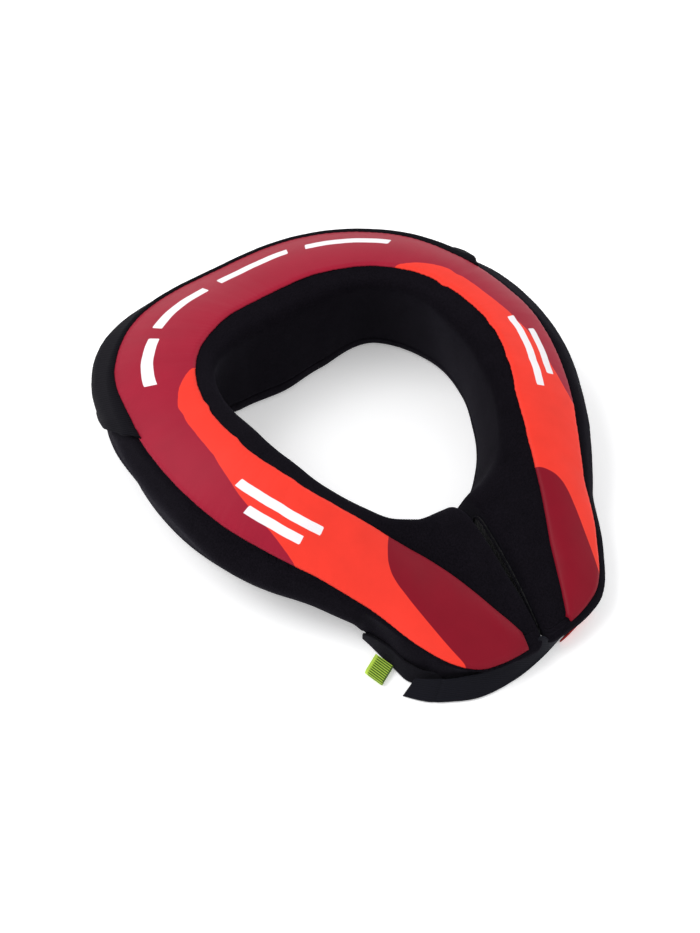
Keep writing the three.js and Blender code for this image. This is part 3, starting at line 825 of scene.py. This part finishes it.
wall_count = len(outer_wall(0))
band_points = []
for s in range(BAND_STATIONS + 1):
    turn = BAND_END_LEFT + (BAND_END_RIGHT - BAND_END_LEFT) * s / BAND_STATIONS
    from_end = math.radians(min(turn - BAND_END_LEFT, BAND_END_RIGHT - turn)) * BAND_RADIUS
    hem = HEM_RISE * (1 - smooth(HEM_WIDTH - HEM_SOFTNESS, HEM_WIDTH + HEM_SOFTNESS, from_end))
    for i in range(wall_count):
        tucked = BAND_TUCK * math.exp(-i / BAND_TUCK_POINTS)
        band_points.append(band_point(turn, i, BAND_FACE - BAND_SETTLE + hem - tucked))
band_faces = grid_faces(BAND_STATIONS, wall_count - 1)

# Woven polyester twill: charcoal, a little bluer and lighter than the fleece, with a low dull gloss.
# Its ribs are 0.4 mm apart on the real cloth and drawn at 0.8 mm so that they show.
TWILL_DARK = "#0D0C10"
TWILL_LIGHT = "#17161B"
TWILL_SPACING = 0.8


def twill_pattern(material, spacing):
    """Slanting ribs at a spacing in millimetres."""
    place_node = add_node(material, "ShaderNodeTexCoord")
    turned = add_node(material, "ShaderNodeMapping", None, {
        "Vector": place_node.outputs["Object"], "Rotation": (0.6, 0.4, 0.8)})
    return add_node(material, "ShaderNodeTexWave", {"bands_direction": "DIAGONAL"}, {
        "Vector": turned.outputs["Vector"], "Scale": WAVE_UNIT / (spacing * MM), "Distortion": 1.2,
        "Detail": 2.0, "Detail Scale": 2.0}).outputs["Fac"]


def twill_colour(material):
    return add_node(material, "ShaderNodeMix", {"data_type": "RGBA"}, {
        "Factor": twill_pattern(material, TWILL_SPACING), 6: linear(TWILL_DARK), 7: linear(TWILL_LIGHT)}).outputs[2]


def twill_bump(material):
    return add_node(material, "ShaderNodeBump", None, {
        "Strength": 0.4, "Distance": 0.15 * MM, "Height": twill_pattern(material, TWILL_SPACING)}).outputs["Normal"]


woven_twill = new_cloth("woven_polyester_twill", 0.85, 0.02, "#9A98A8", twill_colour, twill_bump, 0.04)
back_band = show("back_band_twill", band_points, band_faces, woven_twill)
thicken(back_band, "twill_thickness", BAND_CLOTH)
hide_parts("back_band")

# Stitches of the band's two hems: black polyester thread in short stitches along each fold.
THREAD_RADIUS = 0.32
THREAD_SIDES = 6
# Share of the stitch's length and of the thread's radius
THREAD_RINGS = ((0, 0.3), (0.15, 0.85), (0.5, 1.0), (0.85, 0.85), (1, 0.3))
STITCH_LENGTH = 1.7
STITCH_STEP = 2.7
STITCH_IN = 3.6
STITCH_START = 1.5
STITCH_SUNK = 0.35
STITCH_LEAN = 20


def capped_rings(middles, sides):
    """Points and faces of a round body along rings, each given by its middle and its two radii as vectors."""
    points, faces = [], []
    for middle, side, up in middles:
        for k in range(sides):
            angle = 2 * math.pi * k / sides
            points.append(tuple(middle + side * math.cos(angle) + up * math.sin(angle)))
    last = (len(middles) - 1) * sides
    for start in range(0, last, sides):
        for k in range(sides):
            a, b = start + k, start + (k + 1) % sides
            faces.append((a, b, b + sides, a + sides))
    faces.append(tuple(range(sides - 1, -1, -1)))
    faces.append(tuple(range(last, last + sides)))
    return points, faces


def stitch_rings(start, end, outward):
    """Rings of one stitch, a small round-ended piece of thread that bows outwards."""
    run = end - start
    side = run.cross(outward).normalized()
    up = side.cross(run).normalized()
    rings = []
    for share, size in THREAD_RINGS:
        middle = start + run * share + up * THREAD_RADIUS * 0.5 * math.sin(math.pi * share)
        rings.append((middle, side * THREAD_RADIUS * size, up * THREAD_RADIUS * size))
    return rings


# Polyester sewing thread: black, twisted, with a slight gloss.
sewing_thread = new_cloth("black_polyester_thread", 0.6, 0.1, "#FFFFFF", speckled(0.4, "#1B1A1F", "#3A383F"),
                          pile_bump)
stitch_points, stitch_faces = [], []
inward = math.degrees(STITCH_IN / BAND_RADIUS)
for turn in (BAND_END_LEFT + inward, BAND_END_RIGHT - inward):
    line = [band_point(turn, i, BAND_FACE + HEM_RISE - STITCH_SUNK) for i in range(1, wall_count)]
    walked, at = 0.0, STITCH_START
    for a, b in zip(line, line[1:]):
        length = math.dist(a, b)
        while at + STITCH_LENGTH < walked + length:
            start = Vector(mix(a, b, (at - walked) / length))
            end = Vector(mix(a, b, min(1, (at + STITCH_LENGTH - walked) / length)))
            rings = stitch_rings(start, end, Vector((start.x, start.y, STITCH_LEAN)))
            points, faces = capped_rings(rings, THREAD_SIDES)
            stitch_faces += [tuple(len(stitch_points) + k for k in face) for face in faces]
            stitch_points += points
            at += STITCH_STEP
        walked += length
        at = max(at, walked)
band_thread = show("back_band_stitches", stitch_points, stitch_faces, sewing_thread)

# Loop patch
# A strip of brushed loop cloth for the strap's hooks, sewn under the left front rim.
PATCH_START = -158
PATCH_END = -144
PATCH_STEPS = 30
PATCH_ACROSS = 8
CUT_RUN = 6
FOOT_THICK = 1.6
FOOT_CLEAR = 0.1
SOFT_EDGE = 0.3


def leaning_grid(rows, ends, steps, across, off=0.0, shares=(0.0, 1.0), shape=None, cut=0.0, rise=None):
    """Points of a flat strip round the front between two turns, from its lower to its upper edge. "off" lifts
    it, "shares" says which part of the rows' height it covers, and "shape" gives its relief. "cut" slants its
    end: the lower corner runs on by that many degrees. "rise" gives how much higher its upper edge is."""
    points = []
    start, end = ends
    low_share, high_share = shares
    for s in range(steps + 1):
        turn = start + (end - start) * s / steps
        out = between(rows, "out", turn) * REACH
        under = between(rows, "under", turn) * REACH
        up = between(rows, "up", turn) * RISE
        length = math.hypot(under, up)
        normal = (up / length, under / length)
        foot = max(0, normal[1] * FOOT_THICK) + FOOT_CLEAR
        slant = cut * max(0, 1 - abs(end - turn) / CUT_RUN)
        for i in range(across + 1):
            share = low_share + (high_share - low_share) * i / across
            share += rise(turn) * (i / across) ** 2 if rise else 0
            lift = off + (shape(s / steps, i / across) if shape else 0)
            at = turn + slant * (1 - share)
            face = (out - under * share + normal[0] * lift, foot + up * share + normal[1] * lift)
            points.append(place(at, *face, False))
    return points


def flat_strip(name, points, steps, across, thick, material, outwards=-1):
    """A strip of cloth from a grid of points, with its thickness and softly rounded edges."""
    made = show(name, points, grid_faces(steps, across), material)
    thicken(made, "thickness", thick, outwards)
    edge = made.modifiers.new("soft_edges", "BEVEL")
    edge.width = thick * SOFT_EDGE * MM
    edge.segments = 3
    edge.limit_method = "ANGLE"
    return made


# Brushed loop tape: charcoal nylon, a little greyer than the fleece, dull.
loop_tape = new_cloth("brushed_nylon_loop_tape", 0.9, 0.08, "#A0A0B0", speckled(0.7, "#0D0C10", "#1A191E"),
                      pile_bump, 0.05)
patch_points = leaning_grid(PATCH_RUN, (PATCH_START, PATCH_END), PATCH_STEPS, PATCH_ACROSS)
loop_patch = flat_strip("loop_patch_tape", patch_points, PATCH_STEPS, PATCH_ACROSS, PATCH_THICK, loop_tape)
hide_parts("loop_patch")

# Pull tab
# A short loop of fluorescent grosgrain ribbon caught under the patch, ribbed across its length,
# with a smoother selvedge along one side.
TAB_WIDTH = 10.5
TAB_LENGTH = 11
TAB_RIBBON = 0.9
TAB_INSIDE = 1
TAB_TURN = -148.7
TAB_HEADING = 190
TAB_SKEW = 0.27
TAB_DIP = 3
TAB_CLEAR = 1.1
TAB_CLOTH = 1.15
TAB_RIBS = 9
RIB_HEIGHT = 0.2
RIB_NARROWING = 1.6
SELVEDGE = 1.7
SELVEDGE_SOFTNESS = 0.3
SELVEDGE_DROP = 0.05
TAB_ACROSS = 24
TAB_FLAT_STEPS = 120
TAB_ROUND_STEPS = 16

# The ribbon's path seen from its side: out along the top, round the fold and back along the underside,
# each point with the direction that its face looks in
outer_half = TAB_INSIDE / 2 + TAB_RIBBON
bend = TAB_LENGTH - outer_half
path = []
for k in range(TAB_FLAT_STEPS + 1):
    path.append((bend * k / TAB_FLAT_STEPS, outer_half, 0.0, 1.0))
for k in range(1, TAB_ROUND_STEPS):
    angle = math.pi / 2 - math.pi * k / TAB_ROUND_STEPS
    look = (math.cos(angle), math.sin(angle))
    path.append((bend + outer_half * look[0], outer_half * look[1], *look))
for k in range(TAB_FLAT_STEPS + 1):
    path.append((bend * (1 - k / TAB_FLAT_STEPS), -outer_half, 0.0, -1.0))
heading = math.radians(TAB_HEADING)
dip = math.radians(TAB_DIP)
root = place(TAB_TURN, between(PATCH_RUN, "out", TAB_TURN) * REACH + CLEARANCE, 0, False)
root_up = outer_half + TAB_LENGTH * math.sin(dip) + CLEARANCE
selvedge_from = TAB_WIDTH / 2 - SELVEDGE
tab_points, tab_painted_light = [], []
walked = 0.0
for n, (x, z, nx, nz) in enumerate(path):
    if n:
        walked += math.dist((x, z), path[n - 1][:2])
    rib = math.cos(2 * math.pi * walked / (TAB_LENGTH / TAB_RIBS))
    for i in range(TAB_ACROSS + 1):
        y = TAB_WIDTH * (i / TAB_ACROSS - 0.5)
        on_selvedge = smooth(selvedge_from - SELVEDGE_SOFTNESS, selvedge_from + SELVEDGE_SOFTNESS, -y)
        lift = RIB_HEIGHT * (rib - 1) * (1 - on_selvedge) - SELVEDGE_DROP * on_selvedge
        px, pz = x + nx * lift, z + nz * lift
        py = y + TAB_SKEW * px
        px, pz = px * math.cos(dip) + pz * math.sin(dip), -px * math.sin(dip) + pz * math.cos(dip)
        tab_points.append((root[0] - TAB_CLEAR + px * math.cos(heading) - py * math.sin(heading),
                           root[1] + px * math.sin(heading) + py * math.cos(heading), root_up + pz))
        # Painted shade: the share of the light colour is full on the ribs and on the selvedge, and falls to the
        # dark groove colour between the ribs.
        tab_painted_light.append(max(on_selvedge, (0.5 + 0.5 * rib) ** RIB_NARROWING))

# Fluorescent polyester grosgrain: yellow-green, lighter on the ribs than in the grooves, where the darker colour is
# painted shade.
RIBBON_DARK = "#A8CC3A"
RIBBON_LIGHT = "#C4E060"
GROOVE_SHADE = "#2E5200"


def ribbon_colour_with_groove_shade(material):
    rib_lit_share = add_node(material, "ShaderNodeAttribute", {"attribute_name": "rib"}).outputs["Fac"]
    return add_node(material, "ShaderNodeMix", {"data_type": "RGBA"}, {
        "Factor": rib_lit_share, 6: linear(GROOVE_SHADE), 7: speckled(0.5, RIBBON_DARK, RIBBON_LIGHT)(material)}).outputs[2]


grosgrain = new_cloth("fluorescent_grosgrain_ribbon", 0.6, 0.08, "#F0FFC0", ribbon_colour_with_groove_shade, pile_bump, 0.15)
pull_tab = flat_strip("pull_tab_ribbon", tab_points, len(path) - 1, TAB_ACROSS, TAB_CLOTH, grosgrain, 1)
rib_shade_layer = pull_tab.data.attributes.new("rib", "FLOAT", "POINT")
rib_shade_layer.data.foreach_set("value", tab_painted_light)
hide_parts("pull_tab")

# Hook strip
# Black moulded hook tape on the right end's face inside the slit, rounded at the neck end, with a
# thin piped edge; it grips the left end when the collar is closed.
STRIP_THICK = 1.2
STRIP_START = 7
STRIP_END = 4
STRIP_BELOW = 5.5
STRIP_TALL = 13
STRIP_FOOT = 3
STRIP_ROUND = 7
STRIP_FULLNESS = 0.9
STRIP_STEPS = 60
STRIP_CROWDING = 1.6
STRIP_ACROSS = 12
front = corners(180)


def strip_top(out):
    """Height of the end's upper edge, from the crest to the panel's tip."""
    share = (out - front["crest"][0]) / (front["inner"][0] - front["crest"][0])
    return front["crest"][1] + (front["inner"][1] - front["crest"][1]) * share


def strip_line(share):
    """Place of the strip's outer face along its length: its x, y, middle height and half height."""
    start = front["crest"][0] + STRIP_START
    end = front["inner"][0] - STRIP_END
    out = start + (end - start) * share
    upper = strip_top(out) - STRIP_BELOW
    lower = max(STRIP_FOOT, upper - STRIP_TALL)
    roundness = min(1, (out - start) / STRIP_ROUND)
    half = (upper - lower) / 2 * math.sqrt(1 - (1 - roundness) ** 2 * STRIP_FULLNESS)
    middle = (upper + lower) / 2
    face = place(180, out, middle)
    return face[0] - CLEARANCE - STRIP_THICK, face[1], middle, half


strip_places = [strip_line((s / STRIP_STEPS) ** STRIP_CROWDING) for s in range(STRIP_STEPS + 1)]
strip_points = []
for x, y, middle, half in strip_places:
    strip_points += [(x, y, middle + half * (2 * i / STRIP_ACROSS - 1)) for i in range(STRIP_ACROSS + 1)]

# Moulded nylon hook tape: deep black, dull, with a coarse grain of hooks about 1.2 mm apart; painted light makes
# each hook lighter, and painted shade darkens the tape between the hooks.
HOOK_SPACING = 1.2
HOOK_HEIGHT = 0.6
HOOK_TIP_LIT = "#1A191D"
HOOK_BASE_SHADE = "#040405"


def hooks(material):
    """Distance from the nearest hook."""
    place_node = add_node(material, "ShaderNodeTexCoord")
    return add_node(material, "ShaderNodeTexVoronoi", None, {
        "Vector": place_node.outputs["Object"], "Scale": 1 / (HOOK_SPACING * MM)}).outputs["Distance"]


# Painted light and shade: lighter on each hook's top, darker in the hollows between the hooks.
def hook_colour_with_shade(material):
    return add_node(material, "ShaderNodeMix", {"data_type": "RGBA"}, {
        "Factor": hooks(material), 6: linear(HOOK_TIP_LIT), 7: linear(HOOK_BASE_SHADE)}).outputs[2]


def hook_bump(material):
    return add_node(material, "ShaderNodeBump", {"invert": True}, {
        "Strength": 0.9, "Distance": HOOK_HEIGHT * MM, "Height": hooks(material)}).outputs["Normal"]


hook_tape = new_cloth("moulded_nylon_hook_tape", 0.7, 0.0, "#FFFFFF", hook_colour_with_shade, hook_bump)
hook_strip = flat_strip("hook_strip_tape", strip_points, STRIP_STEPS, STRIP_ACROSS, STRIP_THICK, hook_tape, 1)
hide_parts("hook_strip")

# Piping of the hook strip: a rolled edge of black cloth along its top and round its neck end.
PIPING_RADIUS = 0.55
PIPING_END = 0.5
PIPING_SIDES = 8
PIPING_END_STEPS = 8

x, y, middle, half = strip_places[0]
piping_line = [(x, y, middle + half * (2 * i / PIPING_END_STEPS - 1)) for i in range(PIPING_END_STEPS + 1)]
piping_line += [(x, y, middle + half) for x, y, middle, half in strip_places[1:]]
piping_rings = []
for n, p in enumerate(piping_line):
    is_end = n in (0, len(piping_line) - 1)
    radius = PIPING_RADIUS * (PIPING_END if is_end else 1)
    ahead = Vector(piping_line[min(n + 1, len(piping_line) - 1)]) - Vector(piping_line[max(n - 1, 0)])
    ahead.normalize()
    side = ahead.cross(Vector((1, 0, 0.02))).normalized()
    piping_rings.append((Vector(p), side * radius, side.cross(ahead) * radius))
piping = show("hook_strip_piping", *capped_rings(piping_rings, PIPING_SIDES), woven_twill)

# Strap badge
# A small red patch of smooth cloth on the strap, right of the slit, mostly hidden under the rim.
BADGE_THICK = 0.9
BADGE_START = -191
BADGE_END = -181.5
BADGE_LOW = 0.17
BADGE_HIGH = 0.66
BADGE_EASE = 0.3
BADGE_STEPS = 20
BADGE_ACROSS = 8

# Smooth woven polyester: warm red, slightly glossy.
badge_cloth = new_cloth("red_woven_polyester", 0.5, 0.05, "#FFD0C8", speckled(0.6, "#9C1A1A", "#B22420"),
                        twill_bump, 0.15)
badge_points = leaning_grid(STRAP_RUN, (BADGE_START, BADGE_END), BADGE_STEPS, BADGE_ACROSS,
                            off=BADGE_THICK + CLEARANCE + BADGE_EASE, shares=(BADGE_LOW, BADGE_HIGH))
strap_badge = flat_strip("strap_badge_cloth", badge_points, BADGE_STEPS, BADGE_ACROSS, BADGE_THICK,
                         badge_cloth)
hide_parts("strap_badge")

# Front strap
# A flat band of dense navy-black webbing that crosses the slit: sewn under the right rim, it lies
# over the loop patch on the left, with a slanting cut end and a fold near it.
STRAP_START = -201.5
STRAP_END = -153
STRAP_STEPS = 220
STRAP_ACROSS = 14
STRAP_CUT = 2.3
STRAP_CLOTH = 1.5
STRAP_SETTLE = 0.2
STRAP_RIBS = 0.9
# The fold's crease: its depth in millimetres, then its place, slant and width as shares of the strap's length
CREASE_DEPTH = 0.55
CREASE_AT = 0.075
CREASE_SLANT = 0.02
CREASE_WIDTH = 0.006
# Each bound edge: its share of the strap's width, its height and its half width
BINDINGS = ((0.07, 0.28, 0.07), (0.93, 0.2, 0.05))
SLOW_WAVE = 0.15
EDGE_TUCK = 0.1
SLIT_TUCK = 0.95
SLIT_TUCK_AT = -176.7
SLIT_TUCK_WIDTH = 2


def strap_shape(along, share):
    """The crease of the fold near the left end, the two bound edges and a slow wave."""
    from_crease = 1 - along - CREASE_AT - CREASE_SLANT * share
    crease = -CREASE_DEPTH * math.exp(-(from_crease / CREASE_WIDTH) ** 2)
    bound = sum(height * math.exp(-((share - at) / width) ** 2) for at, height, width in BINDINGS)
    wave = SLOW_WAVE * math.sin(along * 21) * math.sin(share * 3)
    return crease + bound + wave - STRAP_SETTLE


def strap_rise(turn):
    """The upper edge is tucked a little higher under the rim, and most of all where it crosses the slit."""
    tucked = EDGE_TUCK * smooth(158, 163, -turn) * (1 - smooth(192, 196, -turn))
    return tucked + SLIT_TUCK * math.exp(-((turn - SLIT_TUCK_AT) / SLIT_TUCK_WIDTH) ** 2)


def strap_colour(material):
    return add_node(material, "ShaderNodeMix", {"data_type": "RGBA"}, {
        "Factor": twill_pattern(material, STRAP_RIBS), 6: linear("#0B0B12"), 7: linear("#101018")}).outputs[2]


# Nylon webbing: navy black, densely woven ribs, a dull low gloss.
nylon_webbing = new_cloth("navy_black_nylon_webbing", 0.7, 0.05, "#A0A4C0", strap_colour, twill_bump, 0.1)
strap_points = leaning_grid(STRAP_RUN, (STRAP_START, STRAP_END), STRAP_STEPS, STRAP_ACROSS, shape=strap_shape,
                            cut=STRAP_CUT, rise=strap_rise)
front_strap = flat_strip("front_strap_webbing", strap_points, STRAP_STEPS, STRAP_ACROSS, STRAP_CLOTH,
                         nylon_webbing)
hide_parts("front_strap")

# Floor, light and camera
# A white studio sweep under large soft lights; the camera looks down on the collar's front left.
FLOOR_HALF = 6
# Name, place and size in metres, and power in watts
LIGHTS = (
    ("key", (-1.0, 0.7, 1.4), 1.4, 24),
    ("front", (0.4, -1.4, 1.3), 1.6, 8),
    ("side", (1.4, 0.2, 0.9), 1.2, 5),
)
CAMERA_TURN = math.radians(-37.249)
CAMERA_RISE = math.radians(46.508)
CAMERA_TARGET = Vector((-3.6, 17.14, -9.38)) * MM
CAMERA_DISTANCE = 1032 * MM
SENSOR = 36
# The focal length and the picture's height, both in the picture's points
CAMERA_FOCAL = 1957.5
PICTURE_HEIGHT = 933

bpy.context.scene.view_settings.view_transform = "Standard"
floor_mesh = bpy.data.meshes.new("floor")
floor_corners = [(FLOOR_HALF * x, FLOOR_HALF * y, 0) for x, y in ((-1, -1), (1, -1), (1, 1), (-1, 1))]
floor_mesh.from_pydata(floor_corners, [], [(0, 1, 2, 3)])
floor = bpy.data.objects.new("floor", floor_mesh)
bpy.context.scene.collection.objects.link(floor)
paper = bpy.data.materials.new("white_studio_paper")
paper.use_nodes = True
paper_inputs = paper.node_tree.nodes["Principled BSDF"].inputs
paper_inputs["Base Color"].default_value = linear("#FAFAFB")
paper_inputs["Roughness"].default_value = 0.9
paper_inputs["Emission Color"].default_value = linear("#FFFFFF")
paper_inputs["Emission Strength"].default_value = 0.3
floor_mesh.materials.append(paper)

world = bpy.data.worlds.new("studio")
world.use_nodes = True
sky_inputs = world.node_tree.nodes["Background"].inputs
sky_inputs["Color"].default_value = linear("#FFFFFF")
sky_inputs["Strength"].default_value = 0.55
bpy.context.scene.world = world
for name, at, size, power in LIGHTS:
    lamp = bpy.data.lights.new(name, "AREA")
    lamp.size = size
    lamp.energy = power
    made = bpy.data.objects.new(name, lamp)
    made.location = at
    made.rotation_mode = "QUATERNION"
    made.rotation_quaternion = (-Vector(at)).to_track_quat("-Z", "Y")
    bpy.context.scene.collection.objects.link(made)

level = math.cos(CAMERA_RISE)
back = Vector((math.sin(CAMERA_TURN) * level, -math.cos(CAMERA_TURN) * level, math.sin(CAMERA_RISE)))
lens = bpy.data.cameras.new("camera")
lens.sensor_width = SENSOR
lens.lens = SENSOR * CAMERA_FOCAL / PICTURE_HEIGHT
camera = bpy.data.objects.new("camera", lens)
camera.location = CAMERA_TARGET + back * CAMERA_DISTANCE
camera.rotation_mode = "QUATERNION"
camera.rotation_quaternion = back.to_track_quat("Z", "Y")
bpy.context.scene.collection.objects.link(camera)
bpy.context.scene.camera = camera
